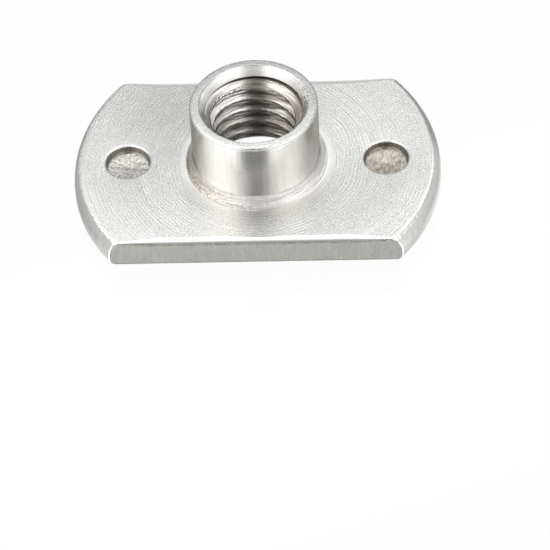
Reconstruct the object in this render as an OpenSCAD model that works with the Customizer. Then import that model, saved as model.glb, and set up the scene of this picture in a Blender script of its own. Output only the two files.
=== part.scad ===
// Projection weld nut with a tee flange: a threaded barrel on a round flange that is sheared to two
// parallel flats. It is cold headed from one steel blank, so it is one solid.
// Millimetres. +Z runs up the barrel, X runs along the flange's long direction, the thread's axis is at
// X = 0, Y = 0, and Z = 0 is the plane that the two weld projections stand on.

/* [Flange] */
// Diameter of the round flange, which is its length along X
flange_d = 30; // [27:0.5:34]
// Width across the two sheared flats
flats_w = 18.5; // [16.5:0.5:22]
// Thickness of the flange
flange_t = 2.4; // [2.1:0.1:3.2]
// How far the crowned part of the rim reaches down from the flange's top face
rim_crown_h = 1.4; // [0.9:0.1:1.5]
// How far the rim's crown draws in where it meets the top face
rim_crown_w = 0.5; // [0.3:0.05:0.8]
// Rounding of the rim on the weld side
rim_bottom_r = 0.4; // [0.2:0.05:0.5]
// Radius that the shear rolls over along the top edge of each flat
shear_roll_r = 0.3; // [0.1:0.05:0.5]

/* [Barrel] */
// Outside diameter of the threaded barrel
barrel_d = 10.4; // [10:0.1:12]
// Height of the barrel above the flange
barrel_h = 6.4; // [5:0.2:10]
// Rounding of the outer edge at the barrel's end
barrel_edge_r = 0.3; // [0.1:0.05:0.4]
// Width of the collar round the barrel's foot
collar_w = 0.57; // [0.3:0.01:0.75]
// Radius that sweeps the collar up into the barrel
collar_sweep_r = 1; // [0.8:0.1:2]
// Height of the sharp step at the collar's outer edge
collar_step = 0.24; // [0.04:0.02:0.3]

/* [Thread] */
// Nominal diameter of the metric thread
thread_d = 8; // [7:0.5:8]
// Pitch of the thread
thread_pitch = 1.25; // [0.75:0.25:1.25]
// Diameter of the chamfer at the barrel's mouth
mouth_d = 8.9; // [8.6:0.1:9.1]
// Included angle of the chamfer at the barrel's mouth
mouth_angle = 66; // [62:2:90]
// Diameter of the lead-in cone at the weld face
lead_in_d = 10; // [9:0.25:10.5]
// Included angle of the lead-in cone
lead_in_angle = 84; // [76:2:100]

/* [Weld projections] */
// Distance between the two projections, centre to centre
projection_spacing = 21.1; // [19:0.1:22]
// Height of each projection below the weld face
projection_h = 0.8; // [0.5:0.1:1]
// Diameter of each projection at the weld face
projection_base_d = 4.7; // [4:0.1:5.2]
// Slope of each projection's side, measured from the weld face
projection_slope = 36; // [30:1:50]
// Radius of the crown that rounds each projection
projection_crown_r = 4.5; // [3:0.5:8]
// Diameter of the small flat at each projection's tip
projection_tip_d = 1.4; // [1:0.1:2]

/* [Punch marks] */
// Diameter of the blind punch mark behind each projection
punch_d = 3.6; // [3:0.1:4]
// Depth of the punch mark's straight wall
punch_depth = 0.6; // [0.4:0.05:0.9]
// Further depth of its conical floor
punch_cone_h = 0.15; // [0.05:0.05:0.3]

/* [Hidden] */
$fn = 96;
// How far a cutting shape runs past the face that it opens
over = 1;
flange_r = flange_d / 2;
// Radius of the rim's crown: an arc upright at its foot that draws in by rim_crown_w over rim_crown_h
rim_crown_r = (pow(rim_crown_h, 2) + pow(rim_crown_w, 2)) / (2 * rim_crown_w);
barrel_r = barrel_d / 2;
collar_r = barrel_r + collar_w;
weld_face_z = projection_h;
flange_top_z = weld_face_z + flange_t;
barrel_end_z = flange_top_z + barrel_h;
// An internal metric thread is 1.0825 pitches smaller at its crests than its nominal diameter
thread_minor_r = (thread_d - 1.0825 * thread_pitch) / 2;
mouth_slope = 1 / tan(mouth_angle / 2);
lead_in_slope = 1 / tan(lead_in_angle / 2);
// Height at which the sweep of the collar runs out in the barrel's side
collar_h = collar_step + sqrt(pow(collar_sweep_r, 2) - pow(collar_sweep_r - collar_w, 2));

// Half section of the flange. The rim's side runs up into an arc that meets the top face at an angle
module flange_section() {
    crown_z = flange_t - rim_crown_h;
    square([flange_r - rim_crown_r, flange_t]);
    square([flange_r - rim_bottom_r, crown_z]);
    translate([0, rim_bottom_r])
        square([flange_r, crown_z - rim_bottom_r]);
    intersection() {
        translate([flange_r - rim_crown_r, crown_z])
            circle(r = rim_crown_r);
        translate([0, crown_z])
            square([flange_r, rim_crown_h]);
    }
    translate([flange_r - rim_bottom_r, rim_bottom_r])
        circle(r = rim_bottom_r);
}

// Section of the flange across its flats, with the rolled top edges that the shear leaves
module flats_section() {
    roll_x = flats_w / 2 - shear_roll_r;
    translate([-flats_w / 2, -over])
        square([flats_w, over + flange_t - shear_roll_r]);
    translate([-roll_x, -over])
        square([2 * roll_x, over + flange_t]);
    for (side = [-1, 1])
        translate([side * roll_x, flange_t - shear_roll_r])
            circle(r = shear_roll_r);
}

// The flange: a round blank sheared to two flats
module flange() {
    intersection() {
        rotate_extrude()
            flange_section();
        rotate([90, 0, 90])
            linear_extrude(height = flange_d + 2 * over, center = true)
                flats_section();
    }
}

// Half section of the barrel above the flange, with its end edge rounded
module barrel_section() {
    square([barrel_r, barrel_h - barrel_edge_r]);
    square([barrel_r - barrel_edge_r, barrel_h]);
    translate([barrel_r - barrel_edge_r, barrel_h - barrel_edge_r])
        circle(r = barrel_edge_r);
}

// Half section of the collar: a block with a hollow sweep taken out of its outer side
module collar_section() {
    difference() {
        square([collar_r, collar_h]);
        translate([barrel_r + collar_sweep_r, collar_h])
            circle(r = collar_sweep_r);
    }
}

// The barrel with the collar at its foot
module barrel() {
    rotate_extrude()
        barrel_section();
    rotate_extrude()
        collar_section();
}

// One weld projection, tip down, with its base in the weld face
module projection() {
    base_r = projection_base_d / 2;
    tip_r = projection_tip_d / 2;
    crown_centre = sqrt(pow(projection_crown_r, 2) - pow(tip_r, 2)) - projection_h;
    rotate([180, 0, 0])
        rotate_extrude()
            intersection() {
                polygon([[0, 0], [base_r, 0], [0, base_r * tan(projection_slope)]]);
                translate([0, -crown_centre])
                    circle(r = projection_crown_r);
                square([base_r, projection_h]);
            }
}

// One punch mark, cut down from the flange's top face
module punch_mark() {
    translate([0, 0, -punch_depth])
        cylinder(d = punch_d, h = punch_depth + over);
    translate([0, 0, -punch_depth - punch_cone_h])
        cylinder(d1 = 0, d2 = punch_d, h = punch_cone_h);
}

// The tapped hole at its crest diameter, with the mouth chamfer and the lead-in cone
module tapped_hole() {
    mouth_r = mouth_d / 2;
    lead_in_r = lead_in_d / 2;
    mouth_depth = (mouth_r - thread_minor_r) * mouth_slope;
    lead_in_depth = (lead_in_r - thread_minor_r) * lead_in_slope;
    translate([0, 0, weld_face_z - over])
        cylinder(r = thread_minor_r, h = barrel_end_z - weld_face_z + 2 * over);
    translate([0, 0, barrel_end_z - mouth_depth])
        cylinder(r1 = thread_minor_r, r2 = mouth_r + over / mouth_slope, h = mouth_depth + over);
    translate([0, 0, weld_face_z - over])
        cylinder(r1 = lead_in_r + over / lead_in_slope, r2 = thread_minor_r, h = lead_in_depth + over);
}

module weld_nut() {
    color([0.79, 0.79, 0.77])
        difference() {
            union() {
                translate([0, 0, weld_face_z])
                    flange();
                translate([0, 0, flange_top_z])
                    barrel();
                for (side = [-1, 1])
                    translate([side * projection_spacing / 2, 0, weld_face_z])
                        projection();
            }
            tapped_hole();
            for (side = [-1, 1])
                translate([side * projection_spacing / 2, 0, flange_top_z])
                    punch_mark();
        }
}

weld_nut();
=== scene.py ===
import math

import bmesh
import bpy
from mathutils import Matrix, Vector, noise


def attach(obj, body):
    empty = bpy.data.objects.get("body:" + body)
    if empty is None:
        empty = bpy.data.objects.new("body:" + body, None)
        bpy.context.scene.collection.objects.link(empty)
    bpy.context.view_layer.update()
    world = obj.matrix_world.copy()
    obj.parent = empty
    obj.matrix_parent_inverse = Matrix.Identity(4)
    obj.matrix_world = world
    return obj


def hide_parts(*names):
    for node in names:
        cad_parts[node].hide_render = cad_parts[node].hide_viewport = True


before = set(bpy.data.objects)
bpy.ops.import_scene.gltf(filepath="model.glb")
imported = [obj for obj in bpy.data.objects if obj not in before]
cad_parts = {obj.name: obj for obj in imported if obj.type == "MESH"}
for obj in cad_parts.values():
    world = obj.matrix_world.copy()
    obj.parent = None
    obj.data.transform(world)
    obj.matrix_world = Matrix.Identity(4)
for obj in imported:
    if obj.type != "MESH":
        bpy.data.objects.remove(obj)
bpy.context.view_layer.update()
scene = bpy.context.scene
scene.view_settings.view_transform = "Standard"

# The camera
# A long lens looks down on the nut from the front, at about 47 degrees, so that the barrel's mouth,
# the top of the flange and the front flat all show.
camera = bpy.data.objects.new("camera", bpy.data.cameras.new("camera"))
scene.collection.objects.link(camera)
scene.camera = camera
camera.data.sensor_width = 36
camera.data.lens = 252.27
camera.location = (0.013439, -0.220957, 0.226857)
camera.rotation_euler = (math.radians(42.924), math.radians(2.315), math.radians(0.756))


# The table and the light
# The nut stands on a sheet of white acrylic in a light tent that is bright at the sides and dim behind. The
# dark camera stand shows in the steel as a soft stripe. A softbox hangs over the barrel, and a small round
# lamp stands for the light that the sheet sends up the threaded hole.
def linear(hex_colour):
    """An sRGB hex colour as linear red, green, blue and alpha."""
    channels = [int(hex_colour[i : i + 2], 16) / 255 for i in (0, 2, 4)]
    return [c / 12.92 if c <= 0.04045 else ((c + 0.055) / 1.055) ** 2.4 for c in channels] + [1]


def feed(node, inputs):
    """Gives a node's inputs their values, or links them to an output or to another node's first output."""
    for name, value in inputs.items():
        if isinstance(value, bpy.types.Node):
            value = value.outputs[0]
        if isinstance(value, bpy.types.NodeSocket):
            node.id_data.links.new(value, node.inputs[name])
        else:
            node.inputs[name].default_value = value


def add_node(tree, kind, inputs=None, stops=(), **settings):
    """Adds a node with its settings and links.

    stops are a colour ramp's, as pairs of a place and a grey level or a colour.
    """
    made = tree.nodes.new("ShaderNode" + kind)
    for name, value in settings.items():
        setattr(made, name, value)
    feed(made, inputs or {})
    if stops:
        elements = made.color_ramp.elements
        while len(elements) < len(stops):
            elements.new(0.5)
        for element, (place, colour) in zip(elements, stops):
            element.position = place
            element.color = linear(colour) if isinstance(colour, str) else (colour, colour, colour, 1)
    return made


# These inputs turn a map range upside down, so that it falls from 1 to 0.
FALLING = {"To Min": 1.0, "To Max": 0.0}
TABLE_HALF = 2

# Cast acrylic sheet with a polished face. It takes a faint soft shadow and mirrors the nut weakly. To the
# camera and in the steel it looks as white as the tent, so it adds no light of its own.
acrylic = bpy.data.materials.new("white_acrylic")
acrylic.use_nodes = True
tree = acrylic.node_tree
tree.nodes.clear()
path = add_node(tree, "LightPath")
direct = add_node(tree, "Math", {0: path.outputs["Is Camera Ray"], 1: 0.97}, operation="MULTIPLY")
mirrored = add_node(tree, "Math", {0: path.outputs["Is Glossy Ray"], 1: 0.06, 2: direct},
                    operation="MULTIPLY_ADD")
body = add_node(tree, "BsdfDiffuse", {"Color": linear("CECECC")})
gloss = add_node(tree, "BsdfGlossy", {"Color": (0.9, 0.9, 0.9, 1), "Roughness": 0.15})
sheet = add_node(tree, "MixShader", {0: 0.74, 1: body, 2: gloss})
white = add_node(tree, "Emission", {"Color": (1, 1, 1, 1), "Strength": 1.0})
mixed = add_node(tree, "MixShader", {0: mirrored, 1: sheet, 2: white})
add_node(tree, "OutputMaterial", {"Surface": mixed})

table_mesh = bpy.data.meshes.new("table")
table_corners = [(x * TABLE_HALF, y * TABLE_HALF, 0) for x, y in ((-1, -1), (1, -1), (1, 1), (-1, 1))]
table_mesh.from_pydata(table_corners, [], [(0, 1, 2, 3)])
table_mesh.materials.append(acrylic)
table = bpy.data.objects.new("table", table_mesh)
scene.collection.objects.link(table)

# The tent's light depends on its direction alone: height is 1 overhead, toward is 1 at the front, and turn
# is the angle away from the front. A colour mix takes its colours in inputs 6 and 7 and gives output 2.
tent = bpy.data.worlds.new("light_tent")
scene.world = tent
tent.use_nodes = True
tree = tent.node_tree
tree.nodes.clear()
direction = add_node(tree, "TexCoord").outputs["Generated"]
x, y, height = add_node(tree, "SeparateXYZ", {0: direction}).outputs
toward = add_node(tree, "Math", {0: y, 1: -1.0}, operation="MULTIPLY")
turn = add_node(tree, "Math", {0: x, 1: toward}, operation="ARCTAN2")
off_front = add_node(tree, "Math", {0: turn}, operation="ABSOLUTE")
sideways = add_node(tree, "Math", {0: x}, operation="ABSOLUTE")
overhead = add_node(tree, "MapRange", {"Value": height, "From Min": 0.8, "To Max": 0.14})
sideways = add_node(tree, "Math", {0: sideways, 1: overhead}, operation="ADD")
beside = add_node(tree, "MapRange", {"Value": sideways, "From Min": 0.18, "From Max": 0.49, **FALLING},
                  interpolation_type="SMOOTHSTEP")
ahead = add_node(tree, "MapRange", {"Value": toward, "From Min": 0.07, "From Max": 0.23},
                 interpolation_type="SMOOTHSTEP")
in_front = add_node(tree, "Math", {0: beside, 1: ahead}, operation="MULTIPLY")
behind = add_node(tree, "MapRange", {"Value": off_front, "From Min": 1.15, "From Max": 2.1},
                  interpolation_type="SMOOTHSTEP")
front_wall = add_node(tree, "ValToRGB", {"Fac": height},
                      stops=[(0.0, 0.4), (0.42, 0.26), (0.58, 0.01), (1.0, 0.015)])
side_wall = add_node(tree, "ValToRGB", {"Fac": height},
                     stops=[(0.0, 0.42), (0.3, 0.5), (0.5, 1.0), (0.85, 1.0), (1.0, 0.5)])
back_wall = add_node(tree, "ValToRGB", {"Fac": height},
                     stops=[(0.0, 0.35), (0.2, 0.28), (0.5, 0.16), (0.72, 0.21), (0.9, 0.42), (1.0, 0.5)])
walls = add_node(tree, "Mix", {"Factor": behind, 6: side_wall, 7: back_wall}, data_type="RGBA")
all_round = add_node(tree, "Mix", {"Factor": in_front, 6: walls.outputs[2], 7: front_wall},
                     data_type="RGBA")
level = add_node(tree, "MapRange", {"Value": x, "From Min": -1.0, "To Min": 2.65, "To Max": 2.25})
lit = add_node(tree, "Background", {"Color": all_round.outputs[2], "Strength": level})
path = add_node(tree, "LightPath")
backdrop = add_node(tree, "Background", {"Color": (1, 1, 1, 1), "Strength": 1.0})
mixed = add_node(tree, "MixShader", {0: path.outputs["Is Camera Ray"], 1: lit, 2: backdrop})
add_node(tree, "OutputWorld", {"Surface": mixed})

softbox = bpy.data.objects.new("softbox", bpy.data.lights.new("softbox", "AREA"))
scene.collection.objects.link(softbox)
softbox.data.shape = "RECTANGLE"
softbox.data.size = 0.13
softbox.data.size_y = 0.042
softbox.data.energy = 0.0155
softbox.location = (0, 0.0255, 0.05)
softbox.rotation_euler = (0, 0, math.radians(21))
softbox.visible_camera = False

glow = bpy.data.objects.new("glow", bpy.data.lights.new("glow", "AREA"))
scene.collection.objects.link(glow)
glow.data.shape = "DISK"
glow.data.size = 0.0088
glow.data.energy = 0.00003
glow.location = (0, 0, 0.0002)
glow.rotation_euler = (math.pi, 0, 0)
glow.visible_camera = False


# The flange
# The head of the cold-headed steel blank: a disc with a crowned rim, pressed flat, then sheared to two
# flats. All lengths below are in millimetres, and the finished mesh is turned to metres at the end.
FLANGE_R = 15.0
FLANGE_T = 2.4
HALF_FLATS = 9.25
WELD_FACE = 0.8
FLANGE_TOP = WELD_FACE + FLANGE_T
CROWN_H = 1.4
CROWN_W = 0.5
CROWN_R = (CROWN_H**2 + CROWN_W**2) / (2 * CROWN_W)
RIM_FOOT_R = 0.55
EDGE_START = 2.34
EDGE_SOFTER = 0.17
EDGE_SOFT_TURN = 0.35
EDGE_WEAR = 0.035
WEAR_ROUND = 45
WEAR_UP = 6
EDGE_MARGIN = 0.32
TOP_CORNER_R = 0.55
FOOT_CORNER_R = 0.15
CORNER_ROLL = 0.4
CORNER_ROLL_FOOT = 1.0
CORNER_ANGLE = 0.7
FIRST_ACROSS = 11.3
ROLL_H = 0.24
ROLL_W = 0.6
ROLL_END_W = 0.18
ROLL_END_H = 0.09
ROLL_END_R = 0.6
ROLL_END_X = 11.55
ROLL_RUN = 4.5
ROLL_COSINE = math.cos(math.radians(42))
FLAT_FOOT_R = 0.12
ARC_STEPS = 170
CORNER_STEPS = 8
FLAT_STEPS = 150

nut = bmesh.new()
finishes = []


def steel(name, colour, roughness):
    """Adds a bright steel finish. Returns its number, node tree, shader and the place in millimetres."""
    material = bpy.data.materials.new(name)
    material.use_nodes = True
    tree = material.node_tree
    tree.nodes.clear()
    shader = add_node(tree, "BsdfPrincipled",
                      {"Base Color": linear(colour), "Metallic": 1.0, "Roughness": roughness})
    add_node(tree, "OutputMaterial", {"Surface": shader})
    place = add_node(tree, "TexCoord").outputs["Object"]
    millimetres = add_node(tree, "VectorMath", {0: place, 1: (1000, 1000, 1000)}, operation="MULTIPLY")
    finishes.append(material)
    return len(finishes) - 1, tree, shader, millimetres


def add_loop(points):
    """Adds the vertices of one closed loop."""
    return [nut.verts.new(point) for point in points]


def skin(lower, upper, finish):
    """Quads between two closed loops with as many points. finish is one number, or one for each quad."""
    for i in range(len(lower)):
        j = (i + 1) % len(lower)
        face = nut.faces.new((lower[i], lower[j], upper[j], upper[i]))
        face.material_index = finish[i] if isinstance(finish, list) else finish


def fill(loops, up, finish):
    """Fills the flat face between an outer loop and the loops of its holes."""
    edges = []
    for loop in loops:
        for i in range(len(loop)):
            edge = nut.edges.get((loop[i], loop[(i + 1) % len(loop)]))
            edges.append(edge or nut.edges.new((loop[i], loop[(i + 1) % len(loop)])))
    filled = bmesh.ops.triangle_fill(nut, use_beauty=True, use_dissolve=False, edges=edges,
                                     normal=(0, 0, up))
    for face in filled["geom"]:
        if isinstance(face, bmesh.types.BMFace):
            face.material_index = finish


def flange_outline(radius, flat, corner, z):
    """The flange's outline at one height, counterclockwise from the front end of the right arc.

    radius(angle) is the rim's radius, flat(x) is how far each flat lies from the middle, and corner rounds
    the edges between them. across is half a flat's length, first a guess that three rounds then settle.
    """
    across = FIRST_ACROSS
    for _ in range(3):
        end = flat(across)
        across = math.sqrt((radius(CORNER_ANGLE) - corner) ** 2 - (end - corner) ** 2)
    lean = math.atan2(end - corner, across)
    points = []
    for side in (0, 1):
        turned = math.pi * side
        sign = 1 - 2 * side
        for i in range(ARC_STEPS):
            angle = turned - lean + 2 * lean * i / ARC_STEPS
            points.append((radius(angle) * math.cos(angle), radius(angle) * math.sin(angle), z))
        for i in range(CORNER_STEPS):
            angle = turned + lean + (math.pi / 2 - lean) * i / CORNER_STEPS
            points.append((sign * across + corner * math.cos(angle),
                           sign * (end - corner) + corner * math.sin(angle), z))
        for i in range(FLAT_STEPS):
            x = sign * across * (1 - 2 * i / FLAT_STEPS)
            points.append((x, sign * flat(x), z))
        for i in range(CORNER_STEPS):
            angle = turned + math.pi / 2 + (math.pi / 2 - lean) * i / CORNER_STEPS
            points.append((-sign * across + corner * math.cos(angle),
                           sign * (end - corner) + corner * math.sin(angle), z))
    return points


def rim_radius(h, angle):
    """The rim's radius at a height above the weld face. Its top edge is worn, and softer at the right."""
    if h < RIM_FOOT_R:
        return FLANGE_R - RIM_FOOT_R + math.sqrt(RIM_FOOT_R**2 - (RIM_FOOT_R - h) ** 2)
    if h < FLANGE_T - CROWN_H:
        return FLANGE_R
    softness = 0.5 + 0.5 * math.cos(angle + EDGE_SOFT_TURN)
    start = EDGE_START - EDGE_SOFTER * softness
    crown = FLANGE_R - CROWN_R + math.sqrt(CROWN_R**2 - (min(h, start) - FLANGE_T + CROWN_H) ** 2)
    if h < start:
        return crown
    tilt = math.asin((start - FLANGE_T + CROWN_H) / CROWN_R)
    edge_r = (FLANGE_T - start) / (1 - math.sin(tilt))
    rise = math.sin(tilt) + (h - start) / edge_r
    place = Vector((WEAR_ROUND * math.cos(angle), WEAR_ROUND * math.sin(angle), WEAR_UP * h))
    worn = EDGE_WEAR * noise.noise(place)
    return crown - edge_r * (math.cos(tilt) - math.sqrt(max(0, 1 - rise**2))) + worn


def flat_distance(h, x):
    """How far a flat lies from the middle. The shear has rolled its top edge over, less at the ends."""
    if h < FLAT_FOOT_R:
        return HALF_FLATS - FLAT_FOOT_R + math.sqrt(FLAT_FOOT_R**2 - (FLAT_FOOT_R - h) ** 2)
    from_end = ROLL_END_X - abs(x)
    inward = min(max(ROLL_END_R - from_end, 0), ROLL_END_R)
    share = min(max(from_end / ROLL_RUN, 0), 1)
    share = share**2 * (3 - 2 * share)
    width = ROLL_END_W + (ROLL_W - ROLL_END_W) * share
    height = ROLL_END_H + (ROLL_H - ROLL_END_H) * share
    crease = FLANGE_T - height - ROLL_END_R + math.sqrt(ROLL_END_R**2 - inward**2)
    rolled = min(max((h - crease) / (FLANGE_T - crease), 0), 1)
    sine = math.sqrt(1 - (ROLL_COSINE + rolled * (1 - ROLL_COSINE)) ** 2)
    return HALF_FLATS - width * (1 - sine / math.sqrt(1 - ROLL_COSINE**2))


def corner_radius(h):
    """How round the edges between rim and flats are: nearly sharp at the foot and rolled at the top."""
    return FOOT_CORNER_R + CORNER_ROLL * max(0, (h - CORNER_ROLL_FOOT) / (FLANGE_T - CORNER_ROLL_FOOT)) ** 2


# Noise lies mostly between 0.3 and 0.7, and these inputs make a map range stretch it to run from -1 to 1.
# Noise of scale 5 has specks about 1/5 mm wide, because a material's place is in millimetres.
SWING = {"From Min": 0.3, "From Max": 0.7, "To Min": -1.0}

# Low-carbon steel pressed flat by the heading die. It is bright and satin, and shows the rings that were
# turned in the die, here one every 0.28 mm, with worn patches 2 mm wide and a grain of 0.09 mm. The real
# rings and grain are finer, and these are as coarse as they need to be to show. The metal is brightest
# round the collar, where the die polished it. It is painted lighter toward the rim and darker toward the
# right front, as painted light and shade, and a patch at the back left is darker.
pressed_face, tree, shader, place = steel("pressed_steel_face", "DEDEDC", 0.28)
flat_place = add_node(tree, "VectorMath", {0: place, 1: (1, 1, 0)}, operation="MULTIPLY")
radius = add_node(tree, "VectorMath", {0: flat_place}, operation="LENGTH").outputs["Value"]
x, y, _ = add_node(tree, "SeparateXYZ", {0: place}).outputs
fast = add_node(tree, "Math", {0: radius, 1: 9.0}, operation="MULTIPLY")
slow_x = add_node(tree, "Math", {0: x, 1: 0.15}, operation="MULTIPLY")
slow_y = add_node(tree, "Math", {0: y, 1: 0.15}, operation="MULTIPLY")
ring_place = add_node(tree, "CombineXYZ", {0: fast, 1: slow_x, 2: slow_y})
rings = add_node(tree, "TexNoise", {"Vector": ring_place, "Scale": 1.0, "Detail": 0.6})
rings = add_node(tree, "MapRange", {"Value": rings, **SWING})
even = add_node(tree, "TexWave", {"Vector": flat_place, "Scale": 1.12, "Distortion": 7.0, "Detail": 1.0,
                                  "Detail Scale": 0.35, "Detail Roughness": 0.4}, wave_type="RINGS",
                rings_direction="Z")
even = add_node(tree, "MapRange", {"Value": even.outputs["Fac"], "To Min": -0.5, "To Max": 0.5})
rings = add_node(tree, "Math", {0: rings, 1: 0.45, 2: even}, operation="MULTIPLY_ADD")
patches = add_node(tree, "TexNoise", {"Vector": place, "Scale": 0.5, "Detail": 3.0})
patches = add_node(tree, "MapRange", {"Value": patches, **SWING})
fade = add_node(tree, "MapRange", {"Value": radius, "From Min": 8.0, "From Max": 12.5, "To Min": 1.0,
                                   "To Max": 0.5})
halo = add_node(tree, "MapRange", {"Value": radius, "From Min": 5.9, "From Max": 6.6},
                interpolation_type="SMOOTHSTEP")
near = add_node(tree, "Math", {0: halo, 1: 0.6, 2: 0.4}, operation="MULTIPLY_ADD")
ring_amount = add_node(tree, "Math", {0: fade, 1: near}, operation="MULTIPLY")
patchy = add_node(tree, "Math", {0: patches, 1: 0.6, 2: 0.6}, operation="MULTIPLY_ADD", use_clamp=True)
ring_amount = add_node(tree, "Math", {0: ring_amount, 1: patchy}, operation="MULTIPLY")
ring_height = add_node(tree, "Math", {0: rings, 1: ring_amount}, operation="MULTIPLY")
grain = add_node(tree, "TexNoise", {"Vector": place, "Scale": 11.0, "Detail": 2.5})
grain = add_node(tree, "MapRange", {"Value": grain, **SWING})
grain_amount = add_node(tree, "Math", {0: halo, 1: 0.5, 2: 0.5}, operation="MULTIPLY_ADD")
grain_height = add_node(tree, "Math", {0: grain, 1: grain_amount}, operation="MULTIPLY")
ring_bump = add_node(tree, "Bump", {"Height": ring_height, "Distance": 0.0000042})
grain_bump = add_node(tree, "Bump", {"Height": grain_height, "Distance": 0.0000062, "Normal": ring_bump})
cloudy = add_node(tree, "Math", {0: patches, 1: 0.05, 2: 0.5}, operation="MULTIPLY_ADD")
tone = add_node(tree, "Math", {0: ring_height, 1: 0.42, 2: cloudy}, operation="MULTIPLY_ADD")
tone = add_node(tree, "Math", {0: grain_height, 1: 0.5, 2: tone}, operation="MULTIPLY_ADD")
# Painted light: the face is lighter toward the rim.
outer = add_node(tree, "MapRange", {"Value": radius, "From Min": 10.5, "From Max": 13.5, "To Max": 0.07})
tone = add_node(tree, "Math", {0: tone, 1: outer}, operation="ADD")
# Painted shade: the face is darker toward the right front.
right = add_node(tree, "VectorMath", {0: place, 1: (1.0, -0.8, 0)}, operation="DOT_PRODUCT")
right = add_node(tree, "MapRange", {"Value": right.outputs["Value"], "From Min": 5.0, "From Max": 11.0,
                                    "To Max": -0.16})
tone = add_node(tree, "Math", {0: tone, 1: right}, operation="ADD")
# A patch at the back left is darker.
dull = add_node(tree, "VectorMath", {0: place, 1: (-6.5, 4.5, FLANGE_TOP)}, operation="DISTANCE")
dull = add_node(tree, "MapRange", {"Value": dull.outputs["Value"], "From Min": 1.5, "From Max": 7.5,
                                   "To Min": 0.24, "To Max": 0.0}, interpolation_type="SMOOTHSTEP")
tone = add_node(tree, "Math", {0: tone, 1: dull}, operation="SUBTRACT")
shade = add_node(tree, "ValToRGB", {"Fac": tone}, stops=[(0.0, "B6B6B3"), (0.5, "DCDCDA"), (1.0, "FAFAF8")])
cream = add_node(tree, "Mix", {"Factor": near, 6: linear("F8F7F4"), 7: shade}, data_type="RGBA")
feed(shader, {"Normal": grain_bump, "Base Color": cream.outputs[2]})

# The same steel upset against the die's wall and never machined. It is duller than the face, with streaks
# 0.3 mm apart along the stroke of the press. Its top edge is white and ragged, partly from wear and partly
# as a painted highlight. The rim is painted lighter toward the right and darker toward the back, as painted
# light and shade.
headed_rim, tree, shader, place = steel("headed_steel_rim", "C6C7C4", 0.34)
tall = add_node(tree, "VectorMath", {0: place, 1: (3, 3, 0.7)}, operation="MULTIPLY")
streaks = add_node(tree, "TexNoise", {"Vector": tall, "Scale": 1.0, "Detail": 2.5})
streaks = add_node(tree, "MapRange", {"Value": streaks, **SWING})
bump = add_node(tree, "Bump", {"Height": streaks, "Distance": 0.000009})
x, y, z = add_node(tree, "SeparateXYZ", {0: place}).outputs
# Painted light and shade: the rim is lighter toward the right and darker toward the left.
tone = add_node(tree, "MapRange", {"Value": x, "From Min": -15.0, "From Max": 15.0})
tone = add_node(tree, "Math", {0: streaks, 1: 0.15, 2: tone}, operation="MULTIPLY_ADD")
shade = add_node(tree, "ValToRGB", {"Fac": tone}, stops=[(0.0, "C4C5C2"), (1.0, "E6E6E3")])
specks = add_node(tree, "TexNoise", {"Vector": place, "Scale": 3.5, "Detail": 3.0})
specks = add_node(tree, "MapRange", {"Value": specks, **SWING})
# The ragged top edge is near white, partly wear and partly a painted highlight that fades toward the right.
ragged = add_node(tree, "Math", {0: specks, 1: 0.07, 2: z}, operation="MULTIPLY_ADD")
worn_edge_and_highlight = add_node(tree, "MapRange", {"Value": ragged, "From Min": FLANGE_TOP - 0.09,
                                    "From Max": FLANGE_TOP - 0.03})
fading = add_node(tree, "MapRange", {"Value": x, "From Min": 6.0, "From Max": 12.0, "To Min": 1.0,
                                     "To Max": 0.3})
worn_edge_and_highlight = add_node(tree, "Math", {0: worn_edge_and_highlight, 1: fading}, operation="MULTIPLY")
worn = add_node(tree, "Mix", {"Factor": worn_edge_and_highlight, 6: shade, 7: linear("FCFCFA")}, data_type="RGBA")
# Painted shade: the rim is darker toward the back.
painted_back_shade = add_node(tree, "MapRange", {"Value": y, "From Max": 3.0, "To Max": 0.75})
worn = add_node(tree, "Mix", {"Factor": painted_back_shade, 6: worn.outputs[2], 7: linear("969693")}, data_type="RGBA")
rough = add_node(tree, "MapRange", {"Value": worn_edge_and_highlight, "To Min": 0.34, "To Max": 0.22})
feed(shader, {"Normal": bump, "Base Color": worn.outputs[2], "Roughness": rough})

# The same steel torn by the shear. It is matt and grey, with upright streaks 0.17 mm apart and a grain of
# 0.14 mm, both drawn coarser than real. The rolled edge is burnished and painted near white, with a painted
# highlight. It ends in a torn dark line, partly torn metal and partly painted shade, and painted shade lies
# along the foot.
sheared_flat, tree, shader, place = steel("sheared_steel_flat", "C6C7C2", 0.5)
tall = add_node(tree, "VectorMath", {0: place, 1: (6, 6, 0.7)}, operation="MULTIPLY")
streaks = add_node(tree, "TexNoise", {"Vector": tall, "Scale": 1.0, "Detail": 2.5})
streaks = add_node(tree, "MapRange", {"Value": streaks, **SWING})
grain = add_node(tree, "TexNoise", {"Vector": place, "Scale": 7.0, "Detail": 2.0})
grain = add_node(tree, "MapRange", {"Value": grain, **SWING})
x, _, z = add_node(tree, "SeparateXYZ", {0: place}).outputs
wavy = add_node(tree, "VectorMath", {0: place, 1: (2.4, 2.4, 0.5)}, operation="MULTIPLY")
wavy = add_node(tree, "TexNoise", {"Vector": wavy, "Scale": 1.0, "Detail": 4.0})
wavy = add_node(tree, "MapRange", {"Value": wavy, **SWING})
ragged = add_node(tree, "Math", {0: wavy, 1: 0.07, 2: z}, operation="MULTIPLY_ADD")
along = add_node(tree, "Math", {0: x}, operation="ABSOLUTE")
inward = add_node(tree, "MapRange", {"Value": along, "From Min": ROLL_END_X - ROLL_END_R,
                                     "From Max": ROLL_END_X, "To Max": ROLL_END_R})
square = add_node(tree, "Math", {0: inward, 1: 2.0}, operation="POWER")
square = add_node(tree, "Math", {0: ROLL_END_R**2, 1: square}, operation="SUBTRACT")
crease = add_node(tree, "Math", {0: square}, operation="SQRT")
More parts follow.
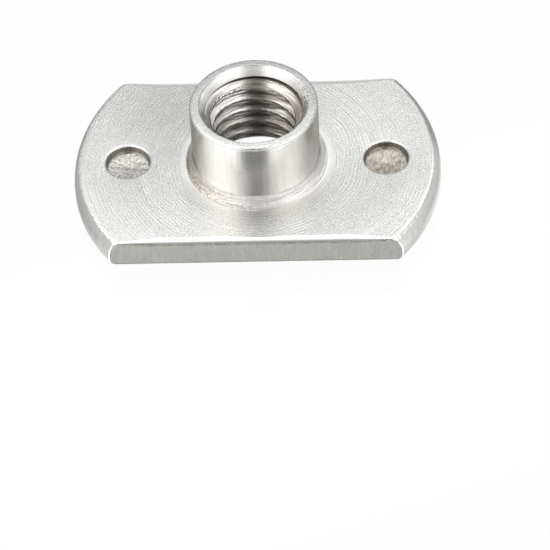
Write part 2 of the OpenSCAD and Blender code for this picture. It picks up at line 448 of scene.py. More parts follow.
crease = add_node(tree, "Math", {0: crease, 1: FLANGE_TOP - ROLL_END_R}, operation="ADD")
drop = add_node(tree, "MapRange", {"Value": along, "From Min": ROLL_END_X - ROLL_RUN,
                                   "From Max": ROLL_END_X, "To Min": ROLL_H, "To Max": ROLL_END_H},
                interpolation_type="SMOOTHSTEP")
crease = add_node(tree, "Math", {0: crease, 1: drop}, operation="SUBTRACT")
above = add_node(tree, "Math", {0: ragged, 1: crease}, operation="SUBTRACT")
on_flat = add_node(tree, "MapRange", {"Value": above, "From Max": 0.04, **FALLING})
before_end = add_node(tree, "MapRange", {"Value": along, "From Min": 11.6, "From Max": 11.68, **FALLING})
on_flat = add_node(tree, "Math", {0: on_flat, 1: before_end}, operation="MULTIPLY")
mixed = add_node(tree, "Math", {0: streaks, 1: 0.25, 2: grain}, operation="MULTIPLY_ADD")
mixed = add_node(tree, "Math", {0: mixed, 1: on_flat}, operation="MULTIPLY")
bump = add_node(tree, "Bump", {"Height": mixed, "Distance": 0.000007})
rough = add_node(tree, "MapRange", {"Value": on_flat, "To Min": 0.28, "To Max": 0.5})
tone = add_node(tree, "Math", {0: streaks, 1: 0.14, 2: 0.5}, operation="MULTIPLY_ADD")
tone = add_node(tree, "Math", {0: grain, 1: 0.2, 2: tone}, operation="MULTIPLY_ADD")
shade = add_node(tree, "ValToRGB", {"Fac": tone}, stops=[(0.0, "BDBEB9"), (0.5, "D0D1CC"), (1.0, "E2E3DE")])
patchy = add_node(tree, "Math", {0: grain, 1: 0.4, 2: 0.6}, operation="MULTIPLY_ADD")
# The torn line under the roll is darkened, partly as torn metal and partly as painted shade.
torn = add_node(tree, "MapRange", {"Value": above, "From Min": -0.09, "From Max": -0.03})
torn = add_node(tree, "Math", {0: torn, 1: patchy}, operation="MULTIPLY")
# Painted shade along the foot of the flat.
painted_foot_shade = add_node(tree, "MapRange", {"Value": z, "From Min": 0.84, "From Max": 1.02, "To Min": 0.5,
                                   "To Max": 0.0})
tear_and_painted_shade = add_node(tree, "Math", {0: torn, 1: painted_foot_shade}, operation="ADD", use_clamp=True)
dark = add_node(tree, "Mix", {"Factor": tear_and_painted_shade, 6: shade, 7: linear("4C4D48")}, data_type="RGBA")
# Above the crease and past the flat's ends the colour is near white: the burnished roll, with a painted
# highlight.
rolled = add_node(tree, "Mix", {"Factor": on_flat, 6: linear("F4F4F2"), 7: dark.outputs[2]},
                  data_type="RGBA")
feed(shader, {"Normal": bump, "Roughness": rough, "Base Color": rolled.outputs[2]})

labels = ([headed_rim] * ARC_STEPS + [sheared_flat] * (FLAT_STEPS + 2 * CORNER_STEPS)) * 2
heights = [0, 0.006, 0.02, 0.045, 0.08, 0.12, 0.18, 0.25, 0.32, 0.4, 0.55, 0.7, 0.85, 1.0, 1.1, 1.2, 1.3,
           1.4, 1.5, 1.6, 1.7, 1.8, 1.88, 1.95, 2.0, 2.05, 2.1, 2.13, 2.16, 2.18, 2.2, 2.22, 2.25, 2.28,
           2.31, 2.335, 2.355, 2.37, 2.382, 2.391, 2.397]
levels = []
for h in heights:
    points = flange_outline(lambda angle: rim_radius(h, angle), lambda x: flat_distance(h, x),
                            corner_radius(h), WELD_FACE + h)
    levels.append(add_loop(points))
# Narrow loops inside the edges keep the faces' shading flat up to them
EDGE_GAP = 0.03
BORDER_GAP = 0.12
RIM_BORDER_GAP = 0.1
FOOT_GAP = 0.08
inner = FLANGE_R - CROWN_W - EDGE_MARGIN
top_edge = add_loop(flange_outline(lambda angle: inner, lambda x: flat_distance(FLANGE_T, x) - EDGE_GAP,
                                   TOP_CORNER_R, FLANGE_TOP))
top_border = add_loop(flange_outline(lambda angle: inner - RIM_BORDER_GAP,
                                     lambda x: flat_distance(FLANGE_T, x) - BORDER_GAP,
                                     TOP_CORNER_R, FLANGE_TOP))
foot_border = add_loop(flange_outline(lambda angle: rim_radius(0, angle) - FOOT_GAP,
                                      lambda x: flat_distance(0, x) - FOOT_GAP, FOOT_CORNER_R, WELD_FACE))
for lower, upper in zip(levels, levels[1:]):
    skin(lower, upper, labels)
skin(levels[-1], top_edge, [pressed_face if label == headed_rim else label for label in labels])
skin(top_edge, top_border, pressed_face)
skin(foot_border, levels[0], headed_rim)


# The punch marks
# Two blind marks in the top of the flange, struck by the pins that push the weld projections out below.
# The walls are burnished by the punch, and the floor is rough where the metal flowed.
PUNCH_X = 10.55
PUNCH_R = 1.8
PUNCH_DEPTH = 0.6
PUNCH_CONE = 0.15
FLAKE_H = 0.028
FLAKE_MORE = 0.008
FLAKE_FADE = 1.8
# How fine each floor's flakes are along X and Y, and where their noise is read. The right-hand floor's are
# drawn out from front to back.
FLAKES = {-1: (2.6, 2.6, 5), 1: (4.2, 1.3, 3)}
MARK_STEPS = 96


def circle(radius, z, steps, x=0.0):
    """The points of a level circle round an upright axis at x."""
    return [(x + radius * math.cos(math.tau * i / steps), radius * math.sin(math.tau * i / steps), z)
            for i in range(steps)]


# Steel burnished by the side of the pin, with upright lines 0.2 mm apart. Its warm dark grey is painted
# shade, for the shade inside the mark.
punched_wall, tree, shader, place = steel("punched_steel_wall", "8A8680", 0.34)
tall = add_node(tree, "VectorMath", {0: place, 1: (5, 5, 0.8)}, operation="MULTIPLY")
streaks = add_node(tree, "TexNoise", {"Vector": tall, "Scale": 1.0, "Detail": 2.0})
streaks = add_node(tree, "MapRange", {"Value": streaks, **SWING})
bump = add_node(tree, "Bump", {"Height": streaks, "Distance": 0.000003})
tone = add_node(tree, "Math", {0: streaks, 1: 0.5, 2: 0.5}, operation="MULTIPLY_ADD")
# The warm dark greys are painted shade.
shade = add_node(tree, "ValToRGB", {"Fac": tone}, stops=[(0.0, "7C7872"), (1.0, "98948E")])
feed(shader, {"Normal": bump, "Base Color": shade})

# Steel stretched under the end of the pin. It is dull and in flakes 0.2 mm wide, which the right-hand pin
# has drawn out and browned.
punched_floor, tree, shader, place = steel("punched_steel_floor", "CFCBC4", 0.38)
x = add_node(tree, "SeparateXYZ", {0: place}).outputs["X"]
right = add_node(tree, "Math", {0: x, 1: 0.0}, operation="GREATER_THAN")
stretch = add_node(tree, "Mix", {"Factor": right, 4: (1, 1, 1), 5: (2.2, 0.45, 1)}, data_type="VECTOR")
drawn = add_node(tree, "VectorMath", {0: place, 1: stretch.outputs[1]}, operation="MULTIPLY")
specks = add_node(tree, "TexNoise", {"Vector": drawn, "Scale": 5.0, "Detail": 2.5})
specks = add_node(tree, "MapRange", {"Value": specks, **SWING})
bump = add_node(tree, "Bump", {"Height": specks, "Distance": 0.000006})
tone = add_node(tree, "Math", {0: specks, 1: 0.4, 2: 0.6}, operation="MULTIPLY_ADD")
shade = add_node(tree, "ValToRGB", {"Fac": tone},
                 stops=[(0.0, "86837E"), (0.45, "BAB8B3"), (1.0, "E4E2DE")])
warm = add_node(tree, "Mix", {"Factor": right, 6: (1, 1, 1, 1), 7: linear("EBE6DF")}, data_type="RGBA")
tint = add_node(tree, "Mix", {"Factor": 1.0, 6: shade, 7: warm.outputs[2]}, data_type="RGBA",
                blend_type="MULTIPLY")
feed(shader, {"Normal": bump, "Base Color": tint.outputs[2]})

# The mark's lip and wall, as pairs of a step outward from its radius and a height above the flange
punch_lip = [(0.24, 0), (0.19, -0.003), (0.14, -0.014), (0.09, -0.035), (0.05, -0.065), (0.02, -0.11),
             (0.005, -0.17), (-0.01, -0.3), (-0.02, -0.46), (-0.05, -0.56), (-0.12, -0.62)]
mark_loops = []
for side in (-1, 1):
    centre = side * PUNCH_X
    loops = [add_loop(circle(PUNCH_R + r, FLANGE_TOP + z, MARK_STEPS, centre)) for r, z in punch_lip]
    mark_loops.append(loops[0])
    fine_x, fine_y, level = FLAKES[side]
    for r in [1.6, 1.5, 1.4, 1.3, 1.2, 1.1, 1.0, 0.9, 0.8, 0.7, 0.6, 0.5, 0.4, 0.3, 0.2, 0.1]:
        depth = PUNCH_DEPTH + PUNCH_CONE * (1 - r / PUNCH_R)
        points = []
        for x, y, z in circle(r, FLANGE_TOP - depth, MARK_STEPS, centre):
            place = Vector((x * fine_x, y * fine_y, level))
            flakes = (FLAKE_H + FLAKE_MORE * side) * noise.fractal(place, 1.0, 2.0, 3)
            points.append((x, y, z + flakes * min(1, FLAKE_FADE * r)))
        loops.append(add_loop(points))
    for i, (outer, inner) in enumerate(zip(loops, loops[1:])):
        skin(outer, inner, pressed_face if i < 5 else punched_wall if i < 10 else punched_floor)
    middle = nut.verts.new((centre, 0, FLANGE_TOP - PUNCH_DEPTH - PUNCH_CONE))
    for i in range(MARK_STEPS):
        face = nut.faces.new((loops[-1][i], loops[-1][(i + 1) % MARK_STEPS], middle))
        face.material_index = punched_floor


# The barrel
# The threaded barrel is drawn up from the same blank. Its side is burnished by the die, its end is faced
# flat, and a collar is left round its foot.
BARREL_R = 5.2
BARREL_END = FLANGE_TOP + 6.4
BARREL_EDGE_R = 0.28
MOUTH_R = 4.45
MOUTH_SLOPE = 1 / math.tan(math.radians(33))
MOUTH_DEPTH = 0.77
THREAD_TOP = BARREL_END - MOUTH_DEPTH
FOOT_RING_R = 5.9
ROUND_STEPS = 224

# Steel drawn through the die. It is burnished enough to mirror the tent in long soft stripes, with draw
# lines 0.22 mm apart, and a grey specular tint darkens its grazing reflections as painted shade. The collar
# below is rougher, with turned lines 0.09 mm apart and a brown oil stain at the left, and its right side is
# painted lighter as a painted highlight. All lines are drawn coarser than real.
drawn_side, tree, shader, place = steel("drawn_steel_barrel", "E1DFDC", 0.2)
tall = add_node(tree, "VectorMath", {0: place, 1: (4.5, 4.5, 0.35)}, operation="MULTIPLY")
streaks = add_node(tree, "TexNoise", {"Vector": tall, "Scale": 1.0, "Detail": 2.0})
streaks = add_node(tree, "MapRange", {"Value": streaks, **SWING})
grain = add_node(tree, "TexNoise", {"Vector": place, "Scale": 9.0, "Detail": 2.0})
grain = add_node(tree, "MapRange", {"Value": grain, **SWING})
mixed = add_node(tree, "Math", {0: streaks, 1: 1.2, 2: grain}, operation="MULTIPLY_ADD")
x, _, z = add_node(tree, "SeparateXYZ", {0: place}).outputs
low = add_node(tree, "MapRange", {"Value": z, "From Min": FLANGE_TOP + 0.75, "From Max": FLANGE_TOP + 1.1,
                                  **FALLING})
rough_foot = add_node(tree, "Math", {0: low, 1: 5.0, 2: 1.0}, operation="MULTIPLY_ADD")
mixed = add_node(tree, "Math", {0: mixed, 1: rough_foot}, operation="MULTIPLY")
round_place = add_node(tree, "VectorMath", {0: place, 1: (0.4, 0.4, 11.0)}, operation="MULTIPLY")
turned = add_node(tree, "TexNoise", {"Vector": round_place, "Scale": 1.0, "Detail": 1.5})
turned = add_node(tree, "MapRange", {"Value": turned, **SWING})
turned = add_node(tree, "Math", {0: turned, 1: low}, operation="MULTIPLY")
mixed = add_node(tree, "Math", {0: turned, 1: 7.0, 2: mixed}, operation="MULTIPLY_ADD")
bump = add_node(tree, "Bump", {"Height": mixed, "Distance": 0.0000011})
across = add_node(tree, "VectorMath", {0: place, 1: (-0.92, -0.4, 0)}, operation="DOT_PRODUCT")
side = add_node(tree, "MapRange", {"Value": across.outputs["Value"], "From Min": 3.2, "From Max": 5.8})
shaded = add_node(tree, "MapRange", {"Value": turned, "From Min": -1.0, "From Max": 0.0, "To Min": 0.7})
cloud = add_node(tree, "TexNoise", {"Vector": place, "Scale": 5.0, "Detail": 5.0})
cloud = add_node(tree, "MapRange", {"Value": cloud, "From Min": 0.35, "From Max": 0.65, "To Min": -1.0})
cloud = add_node(tree, "Math", {0: cloud, 1: 0.6, 2: 0.5}, operation="MULTIPLY_ADD")
stain = add_node(tree, "Math", {0: side, 1: low}, operation="MULTIPLY")
stain = add_node(tree, "Math", {0: stain, 1: cloud}, operation="MULTIPLY")
# Painted highlight: the collar is lighter at the right.
right = add_node(tree, "MapRange", {"Value": x, "From Min": 3.4, "From Max": 5.2})
dull = add_node(tree, "Mix", {"Factor": right, 6: linear("E6E4E1"), 7: linear("FBF9F6")}, data_type="RGBA")
dull = add_node(tree, "Mix", {"Factor": low, 6: linear("E1DFDC"), 7: dull.outputs[2]}, data_type="RGBA")
lines = add_node(tree, "MapRange", {"Value": streaks, "From Min": -1.0, "To Min": 0.88})
lines = add_node(tree, "Math", {0: lines, 1: shaded}, operation="MULTIPLY")
dull = add_node(tree, "Mix", {"Factor": 1.0, 6: dull.outputs[2], 7: lines}, data_type="RGBA",
                blend_type="MULTIPLY")
tint = add_node(tree, "Mix", {"Factor": stain, 6: dull.outputs[2], 7: linear("AA9C89")}, data_type="RGBA")
# Painted shade: a grey specular tint darkens the barrel's grazing reflections above the collar.
painted_edge_shade = add_node(tree, "Mix", {"Factor": low, 6: linear("B4B3B1"), 7: (1, 1, 1, 1)}, data_type="RGBA")
rough = add_node(tree, "MapRange", {"Value": low, "To Min": 0.19, "To Max": 0.3})
feed(shader, {"Normal": bump, "Base Color": tint.outputs[2],
              "Specular Tint": painted_edge_shade.outputs[2], "Roughness": rough})

# Steel faced by the press. It is dull, with a grain of 0.12 mm, drawn coarser than real, which is torn up
# at the right. It is painted lighter at the front and darker at the back, as painted light and shade.
faced_end, tree, shader, place = steel("faced_steel_end", "D4D4D2", 0.37)
grain = add_node(tree, "TexNoise", {"Vector": place, "Scale": 8.0, "Detail": 3.0})
grain = add_node(tree, "MapRange", {"Value": grain, **SWING})
torn = add_node(tree, "VectorMath", {0: place, 1: (4.8, 0.6, BARREL_END)}, operation="DISTANCE")
torn = add_node(tree, "MapRange", {"Value": torn.outputs["Value"], "From Min": 0.7, "From Max": 1.6,
                                   "To Min": 3.0})
rugged = add_node(tree, "Math", {0: grain, 1: torn}, operation="MULTIPLY")
bump = add_node(tree, "Bump", {"Height": rugged, "Distance": 0.000008})
y = add_node(tree, "SeparateXYZ", {0: place}).outputs["Y"]
# Painted light and shade: the end is lighter at the front and darker at the back.
painted_front_light_back_shade = add_node(tree, "MapRange", {"Value": y, "From Min": -5.0, "From Max": 5.0, "To Min": 0.72,
                                    "To Max": 0.28})
tone = add_node(tree, "Math", {0: grain, 1: 0.35, 2: painted_front_light_back_shade}, operation="MULTIPLY_ADD")
shade = add_node(tree, "ValToRGB", {"Fac": tone}, stops=[(0.0, "9C9D9C"), (0.5, "C6C7C6"), (1.0, "EBEBE9")])
feed(shader, {"Normal": bump, "Base Color": shade})

# Steel cut by a countersink. It is bright, with faint turned lines 0.11 mm apart, a grey burr along its
# edge at the left and chips 0.17 mm wide at the right. It is painted darker toward the bottom as painted
# shade, and whiter at the left as painted light.
cut_mouth, tree, shader, place = steel("cut_steel_mouth", "E0DFDC", 0.28)
x, _, z = add_node(tree, "SeparateXYZ", {0: place}).outputs
ring_place = add_node(tree, "VectorMath", {0: place, 1: (0.6, 0.6, 9.0)}, operation="MULTIPLY")
marks = add_node(tree, "TexNoise", {"Vector": ring_place, "Scale": 1.0, "Detail": 2.0})
marks = add_node(tree, "MapRange", {"Value": marks, **SWING})
bump = add_node(tree, "Bump", {"Height": marks, "Distance": 0.0000025})
# Painted shade: the chamfer is darker toward its bottom.
painted_chamfer_shade = add_node(tree, "MapRange", {"Value": z, "From Min": BARREL_END - 0.8, "From Max": BARREL_END - 0.3})
tone = add_node(tree, "Math", {0: marks, 1: 0.12, 2: painted_chamfer_shade}, operation="MULTIPLY_ADD")
shade = add_node(tree, "ValToRGB", {"Fac": tone}, stops=[(0.0, "D4D1CD"), (1.0, "ECEAE7")])
drawn = add_node(tree, "VectorMath", {0: place, 1: (1.0, 0.5, 1.4)}, operation="MULTIPLY")
specks = add_node(tree, "TexNoise", {"Vector": drawn, "Scale": 6.0, "Detail": 3.0})
specks = add_node(tree, "MapRange", {"Value": specks, **SWING})
torn = add_node(tree, "VectorMath", {0: place, 1: (4.1, 0.7, BARREL_END - 0.35)}, operation="DISTANCE")
torn = add_node(tree, "MapRange", {"Value": torn.outputs["Value"], "From Min": 0.6, "From Max": 2.2,
                                   **FALLING})
torn = add_node(tree, "Math", {0: torn, 1: 1.6}, operation="MULTIPLY")
torn = add_node(tree, "Math", {0: torn, 1: specks}, operation="MULTIPLY", use_clamp=True)
# Painted light: the chamfer is whiter at the left.
painted_left_light = add_node(tree, "MapRange", {"Value": x, "From Min": -4.2, "From Max": -2.0, **FALLING})
shade = add_node(tree, "Mix", {"Factor": painted_left_light, 6: shade, 7: (1, 1, 1, 1)}, data_type="RGBA")
chipped = add_node(tree, "Mix", {"Factor": torn, 6: shade.outputs[2], 7: linear("68645F")},
                   data_type="RGBA")
burr = add_node(tree, "Math", {0: z, 1: BARREL_END - 0.05, 2: 0.045}, operation="COMPARE")
burr_left = add_node(tree, "MapRange", {"Value": x, "From Min": -3.6, "From Max": -1.5, "To Min": 0.75,
                                        "To Max": 0.0})
burr = add_node(tree, "Math", {0: burr, 1: burr_left}, operation="MULTIPLY")
chipped = add_node(tree, "Mix", {"Factor": burr, 6: chipped.outputs[2], 7: linear("8C8A87")},
                   data_type="RGBA")
feed(shader, {"Normal": bump, "Base Color": chipped.outputs[2]})

# The collar's half section, as pairs of a radius and a height above the flange
collar = [(5.81, 0.0), (5.78, 0.01), (5.77, 0.03), (5.77, 0.2), (5.762, 0.235), (5.74, 0.262),
          (5.70, 0.275), (5.672, 0.25), (5.65, 0.225), (5.625, 0.25), (5.6, 0.3), (5.54, 0.37),
          (5.48, 0.455), (5.42, 0.56), (5.37, 0.665), (5.335, 0.76), (5.325, 0.8), (5.3, 0.82),
          (5.29, 0.87), (5.27, 0.89), (5.262, 0.95), (5.244, 0.97), (5.236, 1.03), (5.22, 1.06),
          (5.205, 1.13), (5.2, 1.2)]
profile = [(r, FLANGE_TOP + z, drawn_side) for r, z in collar]
profile += [(BARREL_R, FLANGE_TOP + z, drawn_side) for z in (2, 3, 4, 5, 5.9)]
# The end's outer edge is a quarter round in eight steps
for i in range(9):
    angle = math.radians(11.25 * i)
    profile.append((BARREL_R - BARREL_EDGE_R + BARREL_EDGE_R * math.cos(angle),
                    BARREL_END - BARREL_EDGE_R + BARREL_EDGE_R * math.sin(angle),
                    drawn_side if i < 4 else faced_end))
profile += [(r, BARREL_END, faced_end) for r in (4.8, 4.6, 4.48)]
profile.append((4.44, BARREL_END - 0.015, cut_mouth))
for depth in (0.06, 0.2, 0.4, 0.6, 0.72, MOUTH_DEPTH):
    profile.append((MOUTH_R - depth / MOUTH_SLOPE, BARREL_END - depth, cut_mouth))
barrel_loops = [add_loop(circle(r, z, ROUND_STEPS)) for r, z, _ in profile]
for (_, _, finish), lower, upper in zip(profile, barrel_loops, barrel_loops[1:]):
    skin(lower, upper, finish)
foot_ring = add_loop(circle(FOOT_RING_R, FLANGE_TOP, ROUND_STEPS))
skin(foot_ring, barrel_loops[0], pressed_face)
fill([top_border, foot_ring] + mark_loops, 1, pressed_face)


# The tapped hole
# An M8 thread of 1.25 mm pitch, right hand, cut by a tap from the weld face. The crests keep the drilled
# wall and a few burrs, the mouth is chamfered, and a lead-in cone opens the weld face for the screw.
PITCH = 1.25
MINOR_R = 3.3234
MAJOR_R = 4.0
LEAD_R = 5.0
LEAD_SLOPE = 1 / math.tan(math.radians(42))
THREAD_FOOT = WELD_FACE + (LEAD_R - MAJOR_R) * LEAD_SLOPE + 0.02
THREAD_START = 0.131
# A short step lies below the chamfer, where the first turn starts
STEP_R = 3.95
STEP_DEPTH = 0.93
STEP_LEAN = 0.11
STEP_SLOPE = 0.6
STEP_TURN = 0.3
TOOL_MARKS = 0.015
MARKS_ROUND = 3
MARKS_UP = 7
BURRS = 0.035
BURRS_ROUND = 12
BURRS_UP = 3
CREST = 0.1
NO_RISE = 1e-9

# Steel cut by the tap. It is bright, with lines 0.08 mm apart along the turns and burrs 0.15 mm wide on
# the crests. Thin dark lines at the edges of the turns are painted shade. It is painted darker deeper down
# and in a band under the chamfer as painted shade, lighter at the left and darker at the right as painted
# light and shade, and a patch at the back is a painted dark reflection. phase is each place's share of the
# way from one turn's crest to the next, as in bore_radius below.
tapped_thread, tree, shader, place = steel("tapped_steel_thread", "C6C3BE", 0.3)
x, y, z = add_node(tree, "SeparateXYZ", {0: place}).outputs
ring_place = add_node(tree, "VectorMath", {0: place, 1: (0.7, 0.7, 13.0)}, operation="MULTIPLY")
marks = add_node(tree, "TexNoise", {"Vector": ring_place, "Scale": 1.0, "Detail": 2.0})
marks = add_node(tree, "MapRange", {"Value": marks, **SWING})
burrs = add_node(tree, "VectorMath", {0: place, 1: (4.0, 4.0, 6.0)}, operation="MULTIPLY")
burrs = add_node(tree, "TexNoise", {"Vector": burrs, "Scale": 1.0, "Detail": 3.0})
burrs = add_node(tree, "MapRange", {"Value": burrs, **SWING})
risen = add_node(tree, "Math", {0: z, 1: 1 / PITCH, 2: -THREAD_START / PITCH}, operation="MULTIPLY_ADD")
turned = add_node(tree, "Math", {0: y, 1: x}, operation="ARCTAN2")
turned = add_node(tree, "Math", {0: turned, 1: -1 / math.tau, 2: risen}, operation="MULTIPLY_ADD")
turned = add_node(tree, "Math", {0: burrs, 1: 0.022, 2: turned}, operation="MULTIPLY_ADD")
phase = add_node(tree, "Math", {0: turned}, operation="FRACT")
# Painted shade: thin dark lines at the edges of the crests and in the roots.
edges = add_node(tree, "ValToRGB", {"Fac": phase},
                 stops=[(0.0, 0.6), (0.015, 1.0), (0.09, 1.0), (0.12, 0.6), (0.15, 1.0), (0.23, 1.0),
                        (0.25, 0.8), (0.27, 1.0), (0.43, 1.0), (0.455, 0.65), (0.48, 1.0), (0.945, 1.0),
                        (0.96, 0.08)])
crests = add_node(tree, "ValToRGB", {"Fac": phase},
                  stops=[(0.0, 1.0), (0.12, 1.0), (0.17, 0.3), (0.5, 0.1), (0.88, 0.3), (0.93, 1.0)])
dots = add_node(tree, "VectorMath", {0: place, 1: (6.0, 6.0, 9.0)}, operation="MULTIPLY")
dots = add_node(tree, "TexNoise", {"Vector": dots, "Scale": 1.0, "Detail": 2.0})
dots = add_node(tree, "MapRange", {"Value": dots, **SWING})
dots = add_node(tree, "Math", {0: dots, 1: crests}, operation="MULTIPLY")
bumpy = add_node(tree, "Math", {0: dots, 1: 2.5, 2: marks}, operation="MULTIPLY_ADD")
bump = add_node(tree, "Bump", {"Height": bumpy, "Distance": 0.000006})
chips = add_node(tree, "Math", {0: dots, 1: 2.4, 2: -0.8}, operation="MULTIPLY_ADD", use_clamp=True)
# Painted shade: the thread darkens deeper down and lightens toward the mouth.
marks_and_painted_depth_shade = add_node(tree, "Math", {0: marks, 1: 0.8, 2: z}, operation="MULTIPLY_ADD")
tone = add_node(tree, "MapRange", {"Value": marks_and_painted_depth_shade, "From Max": 10.0})
shade = add_node(tree, "ValToRGB", {"Fac": tone},
                 stops=[(0.1, "8C8883"), (0.5, "C8C5C0"), (0.75, "F0EDE9"), (0.9, "FFFEFB")])
# Painted shade: a dark band under the chamfer, fading out at the left.
lean = add_node(tree, "Math", {0: x, 1: -0.03, 2: z}, operation="MULTIPLY_ADD")
painted_shade_under_chamfer = add_node(tree, "MapRange", {"Value": lean, "From Min": THREAD_TOP - 0.34,
                                    "From Max": THREAD_TOP - 0.22, "To Max": 0.85})
off_left = add_node(tree, "MapRange", {"Value": x, "From Min": -3.6, "From Max": -1.2})
painted_shade_under_chamfer = add_node(tree, "Math", {0: painted_shade_under_chamfer, 1: off_left}, operation="MULTIPLY")
# Painted light and shade: the tool marks are lighter at the left and darker at the right.
lines_and_painted_side_light = add_node(tree, "Math", {0: x, 1: -0.4, 2: marks}, operation="MULTIPLY_ADD")
lines_and_painted_side_light = add_node(tree, "MapRange", {"Value": lines_and_painted_side_light, "From Min": -1.0})
lines_and_painted_side_light = add_node(tree, "Mix", {"Factor": lines_and_painted_side_light, 6: linear("A6A29D"), 7: linear("FFFFFF")}, data_type="RGBA")
shade = add_node(tree, "Mix", {"Factor": 1.0, 6: shade, 7: lines_and_painted_side_light.outputs[2]}, data_type="RGBA",
                 blend_type="MULTIPLY")
shade = add_node(tree, "Mix", {"Factor": 1.0, 6: shade.outputs[2], 7: edges}, data_type="RGBA",
                 blend_type="MULTIPLY")
shade = add_node(tree, "Mix", {"Factor": chips, 6: shade.outputs[2], 7: linear("55514C")}, data_type="RGBA")
# Painted dark reflection: a dark patch on the back wall of the bore.
painted_dark_reflection = add_node(tree, "VectorMath", {0: place, 1: (1, 1, 0)}, operation="MULTIPLY")
painted_dark_reflection = add_node(tree, "VectorMath", {0: painted_dark_reflection, 1: (0.1, 3.8, 0)}, operation="DISTANCE")
painted_dark_reflection = add_node(tree, "MapRange", {"Value": painted_dark_reflection.outputs["Value"], "From Min": 0.4, "From Max": 1.6,
                                  "To Min": 0.9, "To Max": 0.0}, interpolation_type="SMOOTHSTEP")
shade = add_node(tree, "Mix", {"Factor": painted_dark_reflection, 6: shade.outputs[2], 7: linear("8F8B86")}, data_type="RGBA")
dark = add_node(tree, "Mix", {"Factor": painted_shade_under_chamfer, 6: shade.outputs[2], 7: linear("3C3833")}, data_type="RGBA")
feed(shader, {"Normal": bump, "Base Color": dark.outputs[2]})

# One turn of the thread, as pairs of a phase and a depth that is 0 at the crest and 1 at the full depth
thread_form = [(0.0, 0.02), (0.05, 0.0), (0.1, 0.01), (0.14, 0.05), (0.18, 0.13), (0.42, 0.88),
               (0.47, 0.95), (0.65, 0.95), (0.7, 0.88), (0.94, 0.13), (0.98, 0.05), (1.0, 0.02)]
# The phases at which a turn has rows of points
turn_rows = [0.0, 0.025, 0.05, 0.075, 0.1, 0.14, 0.18, 0.23, 0.28, 0.33, 0.38, 0.42, 0.47, 0.56, 0.65, 0.7,
             0.76, 0.82, 0.88, 0.94, 0.98]


def bore_radius(angle, z):
    """The wall of the tapped hole: the thread's form, or the cones where they are wider.

    The tool marks blend two samples of noise, so that they meet where a turn closes.
    """
    phase = ((z - THREAD_START) / PITCH - angle / math.tau) % 1.0
    for (a, low), (b, high) in zip(thread_form, thread_form[1:]):
        if a <= phase <= b:
            depth = low + (high - low) * (phase - a) / (b - a)
    wall = MINOR_R + (MAJOR_R - MINOR_R) * depth
    turned = PITCH * angle / math.tau
    for share, along in ((1 - angle / math.tau, z - turned), (angle / math.tau, z - turned + PITCH)):
        place = Vector((math.cos(angle) * MARKS_ROUND, math.sin(angle) * MARKS_ROUND, along * MARKS_UP))
        wall += TOOL_MARKS * share * noise.fractal(place, 1.0, 2.0, 2)
    if depth < CREST:
        place = Vector((math.cos(angle) * BURRS_ROUND, math.sin(angle) * BURRS_ROUND, z * BURRS_UP))
        wall += BURRS * noise.fractal(place, 1.0, 2.0, 3)
    depth_in = BARREL_END - z
    step = STEP_DEPTH + STEP_LEAN * math.cos(angle - STEP_TURN)
    mouth = max(MOUTH_R - depth_in / MOUTH_SLOPE, STEP_R - max(0, depth_in - step) / STEP_SLOPE)
    lead_in = LEAD_R - (z - WELD_FACE) / LEAD_SLOPE
    return max(wall, mouth, lead_in)


# The turns run past both ends of the thread, and what lies beyond is laid on the ends
turns = math.ceil((THREAD_TOP - THREAD_FOOT) / PITCH) + 2
first = math.floor((THREAD_FOOT - THREAD_START) / PITCH) - 1
grid = []
for i in range(ROUND_STEPS + 1):
    angle = math.tau * i / ROUND_STEPS
    column = []
    for k in range(turns):
        for row in turn_rows:
            z = THREAD_START + PITCH * (first + k + row + angle / math.tau)
            z = min(max(z, THREAD_FOOT), THREAD_TOP)
            r = bore_radius(angle, z)
            if z == THREAD_TOP:
                r = MOUTH_R - MOUTH_DEPTH / MOUTH_SLOPE
            elif z == THREAD_FOOT:
                r = LEAD_R - (z - WELD_FACE) / LEAD_SLOPE
            column.append(nut.verts.new((r * math.cos(angle), r * math.sin(angle), z)))
    grid.append(column)
for left, right in zip(grid, grid[1:]):
    for j in range(len(left) - 1):
        # Rows that meet at an end of the thread have no face between them
        if left[j + 1].co.z - left[j].co.z < NO_RISE and right[j + 1].co.z - right[j].co.z < NO_RISE:
            continue
        nut.faces.new((left[j], right[j], right[j + 1], left[j + 1])).material_index = tapped_thread

# The lead-in cone, as pairs of a step outward from its radius and a height above the weld face
lead_h = THREAD_FOOT - WELD_FACE
lead_in = [(0.22, 0), (0.14, 0), (0.07, 0.012), (0.01, 0.045), (-0.04, 0.1), (-0.3, 0.3 * LEAD_SLOPE),
           (-0.7, 0.7 * LEAD_SLOPE), (-lead_h / LEAD_SLOPE, lead_h)]
lead_loops = [add_loop(circle(LEAD_R + r, WELD_FACE + z, ROUND_STEPS)) for r, z in lead_in]
for lower, upper in zip(lead_loops, lead_loops[1:]):
    skin(lower, upper, cut_mouth)


# The weld projections
# Two blunt cones that the punch marks push out of the weld face. Resistance welding melts them into the
# sheet that the nut is fixed to.

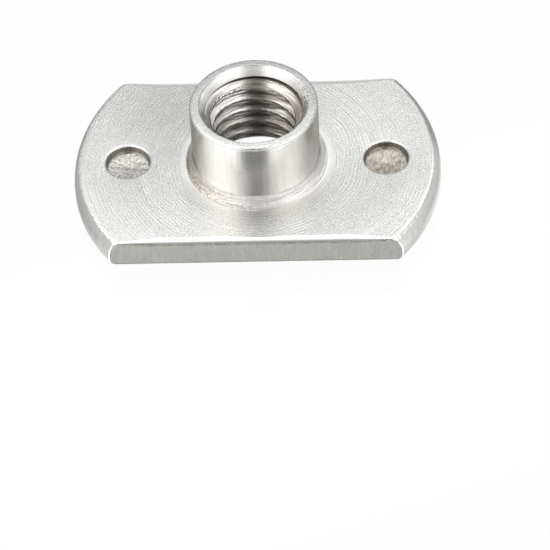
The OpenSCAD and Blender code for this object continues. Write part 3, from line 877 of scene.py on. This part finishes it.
# Steel coined flat by the lower die. It is warm grey and satin, with faint rings 0.17 mm apart and a grain
# of 0.12 mm, drawn coarser than real. It is rougher on the projections' crowns and outside a turned line
# near the rim.
coined_face, tree, shader, place = steel("coined_steel_weld_face", "DAD6CF", 0.36)
z = add_node(tree, "SeparateXYZ", {0: place}).outputs["Z"]
off_centre = add_node(tree, "VectorMath", {0: place, 1: (0.3, -0.2, 0)}, operation="ADD")
off_centre = add_node(tree, "VectorMath", {0: off_centre, 1: (1, 1, 0)}, operation="MULTIPLY")
radius = add_node(tree, "VectorMath", {0: off_centre}, operation="LENGTH").outputs["Value"]
fast = add_node(tree, "Math", {0: radius, 1: 6.0}, operation="MULTIPLY")
slow = add_node(tree, "VectorMath", {0: place, 1: (0.12, 0.12, 0.12)}, operation="MULTIPLY")
ring_place = add_node(tree, "CombineXYZ", {0: fast})
ring_place = add_node(tree, "VectorMath", {0: ring_place, 1: slow}, operation="ADD")
rings = add_node(tree, "TexNoise", {"Vector": ring_place, "Scale": 1.0, "Detail": 1.0})
rings = add_node(tree, "MapRange", {"Value": rings, **SWING})
grain = add_node(tree, "TexNoise", {"Vector": place, "Scale": 8.0, "Detail": 3.0})
grain = add_node(tree, "MapRange", {"Value": grain, **SWING})
crown = add_node(tree, "MapRange", {"Value": z, "From Min": 0.2, "From Max": 0.32, **FALLING})
outside = add_node(tree, "MapRange", {"Value": radius, "From Min": 13.45, "From Max": 13.6})
coarse = add_node(tree, "Math", {0: crown, 1: outside}, operation="MAXIMUM")
amount = add_node(tree, "Math", {0: coarse, 1: 1.6, 2: 0.6}, operation="MULTIPLY_ADD")
height = add_node(tree, "Math", {0: grain, 1: amount}, operation="MULTIPLY")
height = add_node(tree, "Math", {0: rings, 1: 0.5, 2: height}, operation="MULTIPLY_ADD")
bump = add_node(tree, "Bump", {"Height": height, "Distance": 0.000006})
tone = add_node(tree, "Math", {0: height, 1: 0.16, 2: 0.55}, operation="MULTIPLY_ADD")
shade = add_node(tree, "ValToRGB", {"Fac": tone}, stops=[(0.0, "B4AFA6"), (0.5, "D8D4CC"), (1.0, "F2EEE7")])
line = add_node(tree, "Math", {0: radius, 1: 13.45, 2: 0.09}, operation="COMPARE")
cool = add_node(tree, "Mix", {"Factor": outside, 6: shade, 7: linear("C6C7C6")}, data_type="RGBA")
edge = add_node(tree, "Mix", {"Factor": line, 6: cool.outputs[2], 7: linear("A6A39D")}, data_type="RGBA")
feed(shader, {"Normal": bump, "Base Color": edge.outputs[2]})

projection = [(2.6, 0), (2.5, 0.0), (2.42, 0.012), (2.34, 0.045), (2.2, 0.14), (2.0, 0.28), (1.8, 0.42),
              (1.62, 0.54), (1.5, 0.6), (1.35, 0.65), (1.15, 0.7), (0.95, 0.745), (0.7, 0.785), (0.4, 0.8),
              (0.2, 0.8)]
projection_loops = []
for side in (-1, 1):
    loops = [add_loop(circle(r, WELD_FACE - drop, MARK_STEPS, side * PUNCH_X)) for r, drop in projection]
    projection_loops.append(loops[0])
    for outer, inner in zip(loops, loops[1:]):
        skin(outer, inner, coined_face)
    centre = nut.verts.new((side * PUNCH_X, 0, 0))
    for i in range(MARK_STEPS):
        nut.faces.new((loops[-1][i], loops[-1][(i + 1) % MARK_STEPS], centre)).material_index = coined_face
fill([foot_border, lead_loops[0]] + projection_loops, -1, coined_face)


# The whole nut
# The nut is headed, pierced, tapped and sheared from one blank of steel, so its faces are joined into one
# closed mesh. It is turned from millimetres to metres and stands for the solid of the frame.
JOIN_GAP = 0.00002
MILLIMETRE = 0.001
SHARP_ANGLE = 38
bmesh.ops.remove_doubles(nut, verts=nut.verts, dist=JOIN_GAP)
bmesh.ops.recalc_face_normals(nut, faces=nut.faces)
bmesh.ops.scale(nut, vec=(MILLIMETRE, MILLIMETRE, MILLIMETRE), verts=nut.verts)
nut_mesh = bpy.data.meshes.new("weld_nut_steel")
nut.to_mesh(nut_mesh)
nut.free()
for material in finishes:
    nut_mesh.materials.append(material)
nut_mesh.polygons.foreach_set("use_smooth", [True] * len(nut_mesh.polygons))
nut_mesh.set_sharp_from_angle(angle=math.radians(SHARP_ANGLE))
weld_nut = bpy.data.objects.new("weld_nut_steel", nut_mesh)
scene.collection.objects.link(weld_nut)
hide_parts("weld_nut")
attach(weld_nut, "root")
